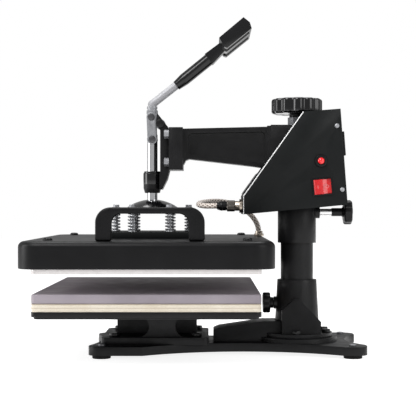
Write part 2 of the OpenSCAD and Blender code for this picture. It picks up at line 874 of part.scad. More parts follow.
module lever_grip() {
    shaft = grip_end - grip_start;
    color(plastic_black) place() difference() {
        union() {
            // round shaft that swells from the bar
            translate([grip_start[0], 0, grip_start[1]])
                rotate([0, 90 - atan2(shaft[1], shaft[0]), 0]) rotate_extrude()
                    polygon([[0, 0], [7, 0], [grip_r, 0.22 * norm(shaft)],
                             [grip_r, norm(shaft)], [0, norm(shaft)]]);
            // neck up to the cross grip
            side(-10, 10)
                polygon([grip_neck[0], [-108, 452.5], [-97, 446], grip_neck[1]]);
            side(-grip_w / 2, grip_w / 2) polygon(grip_head);
        }
        bar_between(bend_at, bar_end, bar_d / 2, bar_d / 2);
        // hollow under the middle of the cross grip, each side of the neck
        for (y = [-40, 13]) side(y, y + 27)
            polygon([[-104, 425], [-111, 440], [-78, 468], [-60, 456]]);
    }
}

module toggle_link() {
    color(zinc) place() difference() {
        for (y = [-link_out, link_in]) side(y, y + link_out - link_in) {
            strip(pin_k, pin_r, 6.8);
            translate(pin_r) circle(7.4);
        }
        for (p = [pin_k, pin_r]) cross_bar(p, pin_rad, -30, 30);
    }
}

// The upper pin crosses the lever hub. The lower one is two stubs, clear of the ram.
module link_pins() {
    head_t = 1.2;
    color(zinc) place() {
        cross_bar(pin_k, pin_rad, -link_out, link_out);
        for (y = [-link_out - head_t, link_out]) cross_bar(pin_k, 5, y, y + head_t);
        for (y = [-link_out, link_in]) cross_bar(pin_r, pin_rad, y, y + link_out - link_in);
        for (y = [-link_out - head_t, link_out]) cross_bar(pin_r, 5, y, y + head_t);
    }
}

// --- Ram and heated platen -------------------------------------------------------------------

module ram() {
    color([0.85, 0.86, 0.88]) place() difference() {
        translate([ram_x, 0, dome_low + 5]) cylinder(r = ram_r, h = pin_r[1] + 7 - dome_low - 5);
        cross_bar(pin_r, pin_rad + 1, -30, 30);
    }
}

module at_springs() {
    for (a = [0 : 60 : 300])
        translate([ram_x + spring_circle * cos(a), spring_circle * sin(a), 0]) children();
}

module pressure_dome() {
    cap_r = 65;
    color(plastic_black) place() difference() {
        union() {
            translate([ram_x, 0, dome_low]) cylinder(r = 62, h = dome_rim_t, $fn = 96);
            intersection() {
                translate([ram_x, 0, dome_low + eps]) cylinder(r = 44, h = 40);
                translate([ram_x, 0, dome_top - cap_r]) sphere(cap_r, $fn = 96);
            }
        }
        translate([ram_x, 0, dome_low + 5]) cylinder(r = ram_r, h = 60);
        at_springs() translate([0, 0, dome_low - 1]) cylinder(r = 3.4, h = 30);
    }
}

module platen_springs() {
    color([0.45, 0.46, 0.48]) place() at_springs() translate([0, 0, spring_low])
        tube(6.5, 4.6, spring_h);
}

module spring_plate() {
    color(sheet_black) place() difference() {
        translate([ram_x, 0, cover_top]) linear_extrude(spring_plate_t) round_rect(152, 130, 14);
        at_springs() translate([0, 0, cover_top + 2]) cylinder(r = 3, h = 20);
    }
}

module spring_bolts() {
    color(zinc) place() at_springs() {
        translate([0, 0, cover_top + 2]) cylinder(r = 3, h = dome_low + dome_rim_t - cover_top - 2);
        translate([0, 0, dome_low + dome_rim_t]) cylinder(r = 5.4, h = 1);
        translate([0, 0, dome_low + dome_rim_t + 1 - eps]) hex(8, 3.6);
    }
}

module at_cover_screws() {
    for (sx = [-1, 1], sy = [-1, 1]) translate([platen_x + sx * 133, sy * 150, 0]) children();
}

module platen_cover() {
    color(sheet_black) place() difference() {
        translate([platen_x, 0, cover_low]) linear_extrude(cover_h) round_rect(cover_w, cover_d, 30);
        translate([platen_x, 0, cover_low - 1]) linear_extrude(cover_h + 1 - cover_wall)
            round_rect(cover_w - 2 * cover_wall, cover_d - 2 * cover_wall, 30 - cover_wall);
        at_cover_screws() translate([0, 0, cover_top - 10]) cylinder(r = 2.5, h = 20);
        translate([lead_end[0], lead_end[1], cover_top - 10]) cylinder(r = 4.5, h = 20);
    }
}

module platen_handle() {
    handle_mid = -205;
    handle_w = 142;
    handle_h = 44;
    leg_w = 21;
    color(plastic_black) place() translate([handle_mid, 0, cover_top]) side(-192, -178) difference() {
        union() {
            translate([-handle_w / 2, 0]) square([handle_w, handle_h - 20]);
            translate([-handle_w / 2 + 20, 0]) square([handle_w - 40, handle_h]);
            for (sx = [-1, 1]) translate([sx * (handle_w / 2 - 20), handle_h - 20]) circle(20);
        }
        translate([-handle_w / 2 + leg_w, -1]) square([handle_w - 2 * leg_w, 23.5]);
        translate([-handle_w / 2 + leg_w + 13, 0])
            square([handle_w - 2 * leg_w - 26, handle_h - 8.5]);
        for (sx = [-1, 1])
            translate([sx * (handle_w / 2 - leg_w - 13), handle_h - 8.5 - 13]) circle(13);
    }
}

module heat_platen() {
    color([0.70, 0.70, 0.71]) place() difference() {
        translate([platen_x, 0, hot_low]) linear_extrude(hot_t) round_rect(platen_w, platen_d, 6);
        at_cover_screws() translate([0, 0, hot_low + 4]) cylinder(r = 2.5, h = 20);
    }
}

element_t = 5;
// Heater tube laid to and fro across the hot plate
module heating_element() {
    run_half = platen_d / 2 - 30;
    pitch = 46;
    color([0.35, 0.34, 0.33]) place() translate([platen_x, 0, hot_low + hot_t]) {
        linear_extrude(element_t) for (i = [-2 : 2]) {
            strip([i * pitch, -run_half], [i * pitch, run_half], 4);
            if (i < 2) strip([i * pitch, (i % 2 == 0 ? 1 : -1) * run_half],
                             [(i + 1) * pitch, (i % 2 == 0 ? 1 : -1) * run_half], 4);
        }
    }
}

module insulation_board() {
    color([0.85, 0.84, 0.80]) place() difference() {
        translate([platen_x, 0, hot_low + hot_t + element_t])
            linear_extrude(10) round_rect(platen_w - 6, platen_d - 6, 6);
        at_cover_screws() translate([0, 0, hot_low]) cylinder(r = 3, h = 60);
    }
}

module cover_screws() {
    color(plastic_black) place() at_cover_screws() {
        translate([0, 0, hot_low + 5]) cylinder(r = 2.5, h = cover_top - hot_low - 5 + eps);
        intersection() {
            translate([0, 0, cover_top]) cylinder(r = 6.5, h = 4);
            translate([0, 0, cover_top - 5]) sphere(8.8);
        }
    }
}

base_casting();
rubber_feet();
foot_screws();
post_socket();
post();
thrust_washer();
pedestal();
base_bolts();
lower_tray();
foam_layer();
silicone_pad();
socket_lock_knob();
swivel_sleeve();
swivel_bush();
swivel_yoke();
arm_hinge_pin();
lift_trunnion();
swing_lock_knob();
swing_arm();
toggle_head();
flange_bolts();
ram_bushing();
lever_pivot_pin();
box_shell();
box_near_panel();
box_screws();
controller_module();
controller_screen();
lamp_bezel();
lamp_lens();
rocker_frame();
power_inlet();
circuit_board();
connector_socket();
connector_plug();
heater_lead();
pressure_knob();
pressure_screw();
lever_hub();
lever_nut();
lever_bar();
lever_grip();
toggle_link();
link_pins();
ram();
pressure_dome();
platen_springs();
spring_plate();
spring_bolts();
platen_cover();
platen_handle();
heat_platen();
heating_element();
insulation_board();
cover_screws();
cable_gland();
rocker();
button_set();
button_up();
button_down();
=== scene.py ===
"""Looks of a swing-away heat press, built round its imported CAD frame. Metres, +Z up."""

import json
import math

import bmesh
import bpy
from mathutils import Matrix, Vector


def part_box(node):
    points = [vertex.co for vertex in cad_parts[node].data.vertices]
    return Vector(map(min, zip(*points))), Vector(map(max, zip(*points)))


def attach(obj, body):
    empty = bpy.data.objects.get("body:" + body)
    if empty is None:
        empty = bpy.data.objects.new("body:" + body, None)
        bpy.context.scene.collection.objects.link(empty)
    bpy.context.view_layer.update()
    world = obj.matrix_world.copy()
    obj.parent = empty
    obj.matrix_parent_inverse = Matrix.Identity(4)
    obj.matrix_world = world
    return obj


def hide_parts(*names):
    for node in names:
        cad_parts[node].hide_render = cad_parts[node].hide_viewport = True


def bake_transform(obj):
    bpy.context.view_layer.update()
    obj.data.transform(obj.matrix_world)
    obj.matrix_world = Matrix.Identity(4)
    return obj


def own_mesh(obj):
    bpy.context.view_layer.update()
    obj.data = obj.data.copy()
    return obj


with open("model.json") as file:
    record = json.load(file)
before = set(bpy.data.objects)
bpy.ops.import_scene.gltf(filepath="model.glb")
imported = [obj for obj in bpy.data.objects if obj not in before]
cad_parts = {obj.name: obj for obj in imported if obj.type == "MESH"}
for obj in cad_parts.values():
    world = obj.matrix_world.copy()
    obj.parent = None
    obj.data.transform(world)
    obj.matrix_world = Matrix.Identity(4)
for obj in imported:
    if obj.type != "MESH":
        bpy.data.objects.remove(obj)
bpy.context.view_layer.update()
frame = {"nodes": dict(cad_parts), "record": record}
nodes = frame["nodes"]
node_body = {
    node: body
    for body, members in frame["record"]["behaviour"]["bodies"].items()
    for node in members
}
MM = 0.001

post_low, post_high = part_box("post")
POST_X = (post_low.x + post_high.x) / 2
ram_low, ram_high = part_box("ram")
RAM_X = (ram_low.x + ram_high.x) / 2


def from_post(x, y, z):
    """A point given in millimetres from the post's axis and the floor."""
    return Vector((POST_X + x * MM, y * MM, z * MM))


# --- Camera -----------------------------------------------------------------------------------

CAMERA_DISTANCE = 1.655
CAMERA_HEIGHT = 0.209
CAMERA_BEFORE_POST = 0.1298
CAMERA_LENS_MM = 98.0


def make_camera():
    """Level view along +Y from the machine's side, as a catalogue picture takes it."""
    data = bpy.data.cameras.new("camera")
    data.lens = CAMERA_LENS_MM
    camera = bpy.data.objects.new("camera", data)
    camera.location = (POST_X - CAMERA_BEFORE_POST, -CAMERA_DISTANCE, CAMERA_HEIGHT)
    camera.rotation_euler = (math.radians(90), 0, 0)
    bpy.context.scene.collection.objects.link(camera)
    bpy.context.scene.camera = camera


make_camera()

# --- Node groups for materials ----------------------------------------------------------------


def new_material(name):
    material = bpy.data.materials.new(name)
    material.use_nodes = True
    tree = material.node_tree
    return material, tree, tree.nodes["Principled BSDF"]


def add_node(tree, kind, **values):
    """A shader node with its inputs set by name, spaces written as underscores."""
    node = tree.nodes.new(kind)
    for key, value in values.items():
        name = key.replace("_", " ")
        if name in node.inputs:
            node.inputs[name].default_value = value
        else:
            setattr(node, key, value)
    return node


def object_place(tree, scale=(1, 1, 1)):
    """Texture coordinates in metres, in the machine's own frame."""
    where = tree.nodes.new("ShaderNodeTexCoord")
    mapping = add_node(tree, "ShaderNodeMapping", Scale=scale)
    tree.links.new(where.outputs["Object"], mapping.inputs["Vector"])
    return mapping.outputs["Vector"]


def noise(tree, place, size, detail=3.0, roughness=0.5):
    """Noise with features about size metres across, from 0 to 1."""
    node = add_node(tree, "ShaderNodeTexNoise", Scale=1 / size, Detail=detail, Roughness=roughness)
    tree.links.new(place, node.inputs["Vector"])
    return node.outputs["Fac"]


def ramp(tree, value, stops):
    """Colours or greys along a 0 to 1 value."""
    node = tree.nodes.new("ShaderNodeValToRGB")
    elements = node.color_ramp.elements
    while len(elements) < len(stops):
        elements.new(0.5)
    for element, (position, colour) in zip(elements, stops):
        element.position = position
        element.color = (*colour, 1) if hasattr(colour, "__len__") else (colour,) * 3 + (1,)
    tree.links.new(value, node.inputs["Fac"])
    return node.outputs["Color"]


def shade(colour, factor):
    return tuple(min(1.0, c * factor) for c in colour)


def bump(tree, shader, height, distance, strength=1.0, below=None):
    node = add_node(tree, "ShaderNodeBump", Strength=strength, Distance=distance)
    tree.links.new(height, node.inputs["Height"])
    if below is not None:
        tree.links.new(below, node.inputs["Normal"])
    tree.links.new(node.outputs["Normal"], shader.inputs["Normal"])
    return node.outputs["Normal"]


def painted(name, colour, rough, grain=0.0009, relief=0.00006, blotch=0.04, coat=0.0, shine=0.5):
    """Powder coat or moulded plastic: fine orange peel, faint cloudiness in colour and gloss."""
    material, tree, shader = new_material(name)
    place = object_place(tree)
    cloud = noise(tree, place, blotch, detail=4)
    tint = ramp(tree, cloud, [(0.3, shade(colour, 0.82)), (0.7, shade(colour, 1.2))])
    tree.links.new(tint, shader.inputs["Base Color"])
    patch = noise(tree, place, blotch * 0.45, detail=5, roughness=0.6)
    gloss = ramp(tree, patch, [(0.25, rough * 0.85), (0.75, min(1, rough * 1.15))])
    tree.links.new(gloss, shader.inputs["Roughness"])
    peel = noise(tree, place, grain, detail=2)
    bump(tree, shader, peel, relief)
    shader.inputs["Specular IOR Level"].default_value = shine
    shader.inputs["Coat Weight"].default_value = coat
    shader.inputs["Coat Roughness"].default_value = 0.12
    return material


def cast_iron(name, colour, rough, shine=0.3):
    """Sand-cast metal under satin paint: a coarse skin with a finer grain over it."""
    material, tree, shader = new_material(name)
    place = object_place(tree)
    cloud = noise(tree, place, 0.03, detail=5)
    tint = ramp(tree, cloud, [(0.3, shade(colour, 0.75)), (0.72, shade(colour, 1.3))])
    tree.links.new(tint, shader.inputs["Base Color"])
    gloss = ramp(tree, noise(tree, place, 0.012, detail=4), [(0.3, rough * 0.8), (0.7, rough * 1.2)])
    tree.links.new(gloss, shader.inputs["Roughness"])
    shader.inputs["Specular IOR Level"].default_value = shine
    skin = bump(tree, shader, noise(tree, place, 0.0045, detail=3), 0.00022, 0.8)
    bump(tree, shader, noise(tree, place, 0.0011, detail=2), 0.00007, 0.9, below=skin)
    return material


def metal(name, colour, rough, lay=(1, 1, 1), grain=0.0006, relief=0.00001, bare=1.0):
    """Bare or plated metal. lay stretches the brush marks along the axes with small numbers.

    bare is below 1 for a dull, oxidised skin, which spreads part of the light that falls on it.
    """
    material, tree, shader = new_material(name)
    shader.inputs["Metallic"].default_value = bare
    place = object_place(tree, lay)
    marks = noise(tree, place, grain, detail=4, roughness=0.65)
    tint = ramp(tree, marks, [(0.2, shade(colour, 0.86)), (0.8, shade(colour, 1.08))])
    tree.links.new(tint, shader.inputs["Base Color"])
    smudge = noise(tree, object_place(tree), 0.009, detail=4)
    gloss = ramp(tree, smudge, [(0.25, rough * 0.75), (0.75, min(1, rough * 1.3))])
    tree.links.new(gloss, shader.inputs["Roughness"])
    bump(tree, shader, marks, relief, 0.5)
    return material


def foam_material():
    """Open-cell silicone foam: small cells on the surface, with painted shade in their pits, and a
    warm, uneven cream.
    """
    material, tree, shader = new_material("foam_cream")
    place = object_place(tree)
    cells = add_node(tree, "ShaderNodeTexVoronoi", Scale=1 / 0.0014, Randomness=1.0)
    tree.links.new(place, cells.inputs["Vector"])
    pits_and_pit_shade = ramp(tree, cells.outputs["Distance"], [(0.05, 0.35), (0.45, 1.0)])
    cloud = noise(tree, place, 0.03, detail=5)
    cream = ramp(tree, cloud, [(0.3, (0.56, 0.50, 0.40)), (0.7, (0.68, 0.63, 0.54))])
    # The pit mask darkens the cream by multiplying: painted shade inside the cells
    mix = add_node(tree, "ShaderNodeMix", data_type="RGBA", blend_type="MULTIPLY")
    mix.inputs[0].default_value = 0.35
    tree.links.new(cream, mix.inputs[6])
    tree.links.new(pits_and_pit_shade, mix.inputs[7])
    tree.links.new(mix.outputs[2], shader.inputs["Base Color"])
    shader.inputs["Roughness"].default_value = 0.9
    bump(tree, shader, pits_and_pit_shade, 0.0004, 0.7)
    return material


def silicone_material():
    """Moulded silicone sheet: mauve grey, matt, with a fine fabric print from its mould."""
    material, tree, shader = new_material("silicone_grey")
    place = object_place(tree)
    cloud = noise(tree, place, 0.06, detail=4)
    grey = ramp(tree, cloud, [(0.3, (0.205, 0.180, 0.205)), (0.7, (0.270, 0.240, 0.268))])
    tree.links.new(grey, shader.inputs["Base Color"])
    gloss = ramp(tree, noise(tree, place, 0.02, detail=3), [(0.3, 0.5), (0.7, 0.66)])
    tree.links.new(gloss, shader.inputs["Roughness"])
    print_x = add_node(tree, "ShaderNodeTexWave", Scale=1 / 0.0055, bands_direction="X")
    print_y = add_node(tree, "ShaderNodeTexWave", Scale=1 / 0.0055, bands_direction="Y")
    cross = add_node(tree, "ShaderNodeMath", operation="MULTIPLY")
    for wave, slot in ((print_x, 0), (print_y, 1)):
        tree.links.new(place, wave.inputs["Vector"])
        tree.links.new(wave.outputs["Fac"], cross.inputs[slot])
    skin = bump(tree, shader, cross.outputs["Value"], 0.00012, 0.5)
    bump(tree, shader, noise(tree, place, 0.0009), 0.00005, 0.6, below=skin)
    return material


# Strands each way round the lead, and the metres in which they repeat along it
BRAID_STRANDS = 5
BRAID_PITCH = 0.0062


def braid_material():
    """Two sets of glass-fibre strands wound both ways round the lead, from the tube's own UVs."""
    material, tree, shader = new_material("lead_braid")
    where = tree.nodes.new("ShaderNodeTexCoord")
    split = tree.nodes.new("ShaderNodeSeparateXYZ")
    tree.links.new(where.outputs["UV"], split.inputs["Vector"])
    strands = []
    for turn in (1, -1):
        around = add_node(tree, "ShaderNodeMath", operation="MULTIPLY")
        around.inputs[1].default_value = 2 * math.pi * BRAID_STRANDS
        tree.links.new(split.outputs["X"], around.inputs[0])
        along = add_node(tree, "ShaderNodeMath", operation="MULTIPLY_ADD")
        along.inputs[1].default_value = turn * 2 * math.pi / BRAID_PITCH
        tree.links.new(split.outputs["Y"], along.inputs[0])
        tree.links.new(around.outputs["Value"], along.inputs[2])
        wave = add_node(tree, "ShaderNodeMath", operation="SINE")
        tree.links.new(along.outputs["Value"], wave.inputs[0])
        strands.append(wave.outputs["Value"])
    top = add_node(tree, "ShaderNodeMath", operation="MAXIMUM")
    for slot, strand in enumerate(strands):
        tree.links.new(strand, top.inputs[slot])
    weave = add_node(tree, "ShaderNodeMapRange", From_Min=-1.0, From_Max=1.0)
    tree.links.new(top.outputs["Value"], weave.inputs["Value"])
    # Dark in the gaps between strands, as painted shade, and lightest on the strands' crowns
    tint = ramp(tree, weave.outputs["Result"],
                [(0.25, (0.10, 0.07, 0.055)), (0.55, (0.50, 0.41, 0.35)), (1.0, (0.80, 0.73, 0.67))])
    tree.links.new(tint, shader.inputs["Base Color"])
    shader.inputs["Roughness"].default_value = 0.6
    shader.inputs["Sheen Weight"].default_value = 0.3
    bump(tree, shader, weave.outputs["Result"], 0.0005, 0.9)
    return material


def lens_material(name, colour, glow=0.0):
    """Clear coloured plastic, a little lit from inside."""
    material, tree, shader = new_material(name)
    place = object_place(tree)
    depth = noise(tree, place, 0.004, detail=2)
    tint = ramp(tree, depth, [(0.3, shade(colour, 0.8)), (0.7, shade(colour, 1.1))])
    tree.links.new(tint, shader.inputs["Base Color"])
    tree.links.new(tint, shader.inputs["Emission Color"])
    shader.inputs["Emission Strength"].default_value = glow
    shader.inputs["Roughness"].default_value = 0.18
    shader.inputs["Coat Weight"].default_value = 0.6
    shader.inputs["Coat Roughness"].default_value = 0.05
    return material


CAST = cast_iron("cast_black", (0.0055, 0.0055, 0.0060), 0.38, shine=0.22)
SHEET = painted("sheet_black", (0.0050, 0.0058, 0.0060), 0.45, 0.0012, 0.00005, shine=0.16)
COVER = painted("cover_charcoal", (0.0060, 0.0060, 0.0065), 0.36, 0.0013, 0.00004, shine=0.15)
HANDLE = cast_iron("handle_black", (0.0035, 0.0035, 0.0040), 0.45, shine=0.16)
PLASTIC = painted("plastic_black", (0.0035, 0.0035, 0.0040), 0.32, 0.0006, 0.00003, shine=0.22)
BLACK_STEEL = painted("black_steel", (0.0045, 0.0045, 0.0050), 0.3, 0.0008, 0.00002, shine=0.3)
GLOSS = painted("gloss_black", (0.0025, 0.0025, 0.0030), 0.12, 0.004, 0.00001, coat=0.3, shine=0.4)
GRIP = painted("grip_black", (0.0040, 0.0040, 0.0045), 0.2, 0.002, 0.00002, coat=0.2, shine=0.3)
RUBBER = painted("rubber_black", (0.0050, 0.0050, 0.0050), 0.75, 0.0005, 0.00005, shine=0.2)
ZINC = metal("zinc_plate", (0.29, 0.295, 0.31), 0.42, grain=0.003, relief=0.000003, bare=0.6)
BAR = metal("zinc_bar", (0.32, 0.32, 0.335), 0.5, grain=0.004, relief=0.000003, bare=0.35)
PIN = metal("pin_steel", (0.10, 0.10, 0.105), 0.35, grain=0.002, relief=0.000003)
# Bright bare metal for the swing knob's stud, and for the strips that paint the highlight along the
# box's near panel edges
STUD_METAL_AND_EDGE_HIGHLIGHT = metal("stud_metal_and_edge_highlight", (0.90, 0.90, 0.90), 0.4)
CHROME = metal("chrome", (0.86, 0.87, 0.89), 0.08, lay=(1, 1, 0.1))
SPRING = metal("spring_steel", (0.50, 0.51, 0.53), 0.3)
BRONZE = metal("bronze", (0.62, 0.42, 0.20), 0.35)
NICKEL = metal("nickel_brass", (0.58, 0.51, 0.43), 0.28)
NICKEL_DARK = metal("nickel_dark", (0.16, 0.145, 0.13), 0.32)
PLATEN = metal("platen_metal", (0.60, 0.575, 0.57), 0.4, lay=(1, 0.05, 1), grain=0.0009)
ELEMENT = metal("element_metal", (0.30, 0.28, 0.26), 0.5)
SILICONE = silicone_material()
FOAM = foam_material()
BRAID = braid_material()
BOARD = painted("board_green", (0.02, 0.13, 0.05), 0.4, grain=0.001)
FIBRE = painted("fibre_board", (0.70, 0.67, 0.60), 0.9, grain=0.0016, relief=0.0002)
SCREEN = lens_material("screen_glass", (0.10, 0.14, 0.12))
LAMP = lens_material("lamp_red", (0.74, 0.008, 0.012), glow=0.25)
SWITCH = lens_material("rocker_red", (0.52, 0.006, 0.009), glow=0.08)
KEY = painted("key_grey", (0.30, 0.30, 0.32), 0.5, grain=0.0005)
GLUE = painted("glue_line", (0.34, 0.28, 0.21), 0.7)
MARK = painted("mark_pale", (0.60, 0.16, 0.16), 0.5)

MATERIAL_SLOTS = {
    "cast_black": CAST, "sheet_black": SHEET, "cover_black": COVER, "plastic_black": PLASTIC,
    "gloss_black": GLOSS, "black_steel": BLACK_STEEL, "rubber_black": RUBBER, "zinc": ZINC,
    "chrome": CHROME, "spring_steel": SPRING, "bronze": BRONZE, "nickel": NICKEL, "silicone": SILICONE,
    "foam": FOAM, "aluminium": PLATEN, "element_metal": ELEMENT, "insulation": FIBRE,
    "board_green": BOARD, "screen": SCREEN, "lamp_red": LAMP, "rocker_red": SWITCH,
    "key_grey": KEY, "lead_sleeve": BRAID,
}

# --- Mesh helpers -----------------------------------------------------------------------------


def new_piece(name, verts, faces, material, smooth_angle=35):
    mesh = bpy.data.meshes.new(name)
    mesh.from_pydata([tuple(v) for v in verts], [], faces)
    mesh.validate()
    piece = bpy.data.objects.new(name, mesh)
    bpy.context.scene.collection.objects.link(piece)
    mesh.materials.append(material)
    recalculate(piece)
    smooth(piece, smooth_angle)
    return piece


def recalculate(piece):
    """Faces all turned outwards."""
    shell = bmesh.new()
    shell.from_mesh(piece.data)
    bmesh.ops.recalc_face_normals(shell, faces=shell.faces)
    shell.to_mesh(piece.data)
    shell.free()


def smooth(piece, angle=35):
    piece.data.shade_smooth()
    piece.data.set_sharp_from_angle(angle=math.radians(angle))


def apply_modifiers(piece):
    """The piece's mesh as its modifiers leave it, with none left on it."""
    graph = bpy.context.evaluated_depsgraph_get()
    made = bpy.data.meshes.new_from_object(piece.evaluated_get(graph))
    piece.modifiers.clear()
    piece.data = made


def bevel(piece, width, segments=2, angle=30):
    cut = piece.modifiers.new("bevel", "BEVEL")
    cut.width = width
    cut.segments = segments
    cut.limit_method = "ANGLE"
    cut.angle_limit = math.radians(angle)
    cut.use_clamp_overlap = True
    cut.harden_normals = False
    apply_modifiers(piece)
    smooth(piece)


def stand_for(piece, *replaced, slot=None):
    """The piece rides where its CAD nodes ride, and is shown in their place."""
    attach(piece, node_body[replaced[0]])
    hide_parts(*replaced)
    return piece


def ring(width, depth, radius, z, centre, steps=10):
    """A level rectangle with round corners, as points."""
    points = []
    corners = ((1, 1, 0), (-1, 1, 90), (-1, -1, 180), (1, -1, 270))
    for side_x, side_y, start in corners:
        for step in range(steps + 1):
            turn = math.radians(start + 90 * step / steps)
            points.append(Vector((
                centre[0] + side_x * (width / 2 - radius) + radius * math.cos(turn),
                centre[1] + side_y * (depth / 2 - radius) + radius * math.sin(turn),
                z)))
    return points


def loft(name, rings, material, closed=True, loop=False, smooth_angle=35):
    """Skin over rings of equal count: capped at both ends, or joined last to first."""
    count = len(rings[0])
    verts = [p for r in rings for p in r]
    faces = []
    spans = len(rings) if loop else len(rings) - 1
    for i in range(spans):
        a, b = i * count, (i + 1) % len(rings) * count
        for k in range(count):
            n = (k + 1) % count
            faces.append((a + k, a + n, b + n, b + k))
    if closed and not loop:
        faces.append(tuple(range(count))[::-1])
        faces.append(tuple(range((len(rings) - 1) * count, len(rings) * count)))
    return new_piece(name, verts, faces, material, smooth_angle)


def lathe(name, profile, origin, axis, material, steps=64, smooth_angle=35):
    """A turned piece: profile is (radius, height) along axis from origin, closed at radius 0."""
    axis = Vector(axis).normalized()
    side = axis.orthogonal().normalized()
    other = axis.cross(side)
    rings = []
    for radius, height in profile:
        rings.append([
            Vector(origin) + axis * height
            + max(radius, 1e-6) * (math.cos(t) * side + math.sin(t) * other)
            for t in (2 * math.pi * k / steps for k in range(steps))])
    piece = loft(name, rings, material, smooth_angle=smooth_angle)
    weld(piece, 2e-6)
    smooth(piece, smooth_angle)
    return piece


def weld(piece, distance):
    shell = bmesh.new()
    shell.from_mesh(piece.data)
    bmesh.ops.remove_doubles(shell, verts=shell.verts, dist=distance)
    flat = [f for f in shell.faces if f.calc_area() < 1e-14]
    bmesh.ops.delete(shell, geom=flat, context="FACES")
    shell.to_mesh(piece.data)
    shell.free()


def sweep(name, path, radius, material, sides=12):
    """A round tube along points, with UVs: x once round, y the distance along in metres."""
    path = [Vector(p) for p in path]
    along = [0.0]
    for a, b in zip(path, path[1:]):
        along.append(along[-1] + (b - a).length)
    heading = [
        (path[min(i + 1, len(path) - 1)] - path[max(i - 1, 0)]).normalized()
        for i in range(len(path))]
    side = heading[0].orthogonal().normalized()
    verts = []
    for point, way in zip(path, heading):
        side = (side - side.dot(way) * way).normalized()
        other = way.cross(side)
        for k in range(sides):
            turn = 2 * math.pi * k / sides
            verts.append(point + radius * (math.cos(turn) * side + math.sin(turn) * other))
    faces, uvs = [], []
    for i in range(len(path) - 1):
        for k in range(sides):
            n = (k + 1) % sides
            faces.append((i * sides + k, i * sides + n, (i + 1) * sides + n, (i + 1) * sides + k))
            u0, u1 = k / sides, (k + 1) / sides
            uvs.append(((u0, along[i]), (u1, along[i]), (u1, along[i + 1]), (u0, along[i + 1])))
    last = (len(path) - 1) * sides
    faces.append(tuple(range(sides))[::-1])
    faces.append(tuple(range(last, last + sides)))
    mesh = bpy.data.meshes.new(name)
    mesh.from_pydata([tuple(v) for v in verts], [], faces)
    layer = mesh.uv_layers.new(name="along")
    for polygon, corners in zip(mesh.polygons, uvs):
        for index, uv in zip(polygon.loop_indices, corners):
            layer.data[index].uv = uv
    mesh.materials.append(material)
    piece = bpy.data.objects.new(name, mesh)
    bpy.context.scene.collection.objects.link(piece)
    smooth(piece, 60)
    return piece


def smooth_path(points, per_span=4):
    """A Catmull-Rom curve through points, for a cord."""
    points = [Vector(p) for p in points]
    ends = [2 * points[0] - points[1]] + points + [2 * points[-1] - points[-2]]
    path = []
    for i in range(1, len(ends) - 2):
        a, b, c, d = ends[i - 1:i + 3]
        for step in range(per_span):
            t = step / per_span
            path.append(0.5 * (2 * b + (c - a) * t + (2 * a - 5 * b + 4 * c - d) * t * t
                               + (3 * b - a - 3 * c + d) * t ** 3))
    path.append(points[-1])
    return path


def join(name, pieces):
    """Several meshes as one piece."""
    whole = bmesh.new()
    materials = []
    for piece in pieces:
        start = len(whole.faces)
        whole.from_mesh(piece.data)
        whole.faces.ensure_lookup_table()
        material = piece.data.materials[0]
        if material not in materials:
            materials.append(material)
        for face in whole.faces[start:]:
            face.material_index = materials.index(material)
    mesh = bpy.data.meshes.new(name)
    whole.to_mesh(mesh)
    whole.free()
    for material in materials:
        mesh.materials.append(material)
    joined = bpy.data.objects.new(name, mesh)
    bpy.context.scene.collection.objects.link(joined)
    for piece in pieces:
        bpy.data.objects.remove(piece)
    return joined


def softened(node, width, material, segments=2, angle=30):
    """A CAD node with real, slightly rounded edges in place of its sharp ones."""
    source = nodes[node]
    mesh = source.data.copy()
    piece = bpy.data.objects.new(node + "_body", mesh)
    bpy.context.scene.collection.objects.link(piece)
    mesh.materials.clear()
    mesh.materials.append(material)
    shell = bmesh.new()
    shell.from_mesh(mesh)
    bmesh.ops.remove_doubles(shell, verts=shell.verts, dist=2e-6)
    bmesh.ops.dissolve_limit(
        shell, angle_limit=math.radians(0.5), verts=shell.verts, edges=shell.edges)
    shell.to_mesh(mesh)
    shell.free()
    bevel(piece, width, segments, angle)
    return stand_for(piece, node)


# --- Heater lead ------------------------------------------------------------------------------

# The route from the plug to the head cover, in millimetres from the post, as the CAD has it
LEAD_DIAMETER = 8 * MM
LEAD_ROUTE = [
    (-117, -35, 212), (-123, -35, 212), (-133, -32, 212), (-140, -25, 213), (-143, -14, 214),
    (-143, 2, 215), (-142, 16, 216), (-139, 30, 217), (-133, 44, 218), (-124, 57, 219),
    (-112, 68, 219), (-98, 75, 217), (-84, 77, 212), (-72, 77, 205), (-62, 77, 196),
    (-55, 77, 185), (-52, 77, 174),
]


def make_plug():
    """Aircraft-style plug: a knurled nut, a plain body and a strain-relief cone."""
    place = from_post(-80, -35, 212)
    knurl = []
    for height, reach in ((11.2, 0.9), (12, 1), (22, 1), (22.8, 0.9)):
        knurl.append([
            place + Vector((-height * MM, 0, 0)) + (8 * reach - 0.35 * (k % 2)) * MM
            * Vector((0, math.cos(2 * math.pi * k / 64), math.sin(2 * math.pi * k / 64)))
            for k in range(64)])
    nut = loft("plug_nut", knurl, NICKEL_DARK, smooth_angle=20)
    body = lathe("plug_body", [
        (0, -5), (4, -5), (4, 11.5), (6.2, 11.5), (6.2, 23.5), (6.6, 24), (6.6, 29.2), (6.9, 29.6),
        (6.9, 31), (6.5, 31.6), (6.5, 32.6), (6.1, 33), (6.1, 34), (5.6, 34.4), (5.6, 35.4),
        (4.7, 37), (0, 37)], (0, 0, 0), (1, 0, 0), PLASTIC)
    body.data.transform(Matrix.Translation(place) @ Matrix.Scale(-MM, 4, (1, 0, 0))
                        @ Matrix.Scale(MM, 4, (0, 1, 0)) @ Matrix.Scale(MM, 4, (0, 0, 1)))
    recalculate(body)
    return stand_for(join("plug", [nut, body]), "connector_plug", slot="plastic_black")


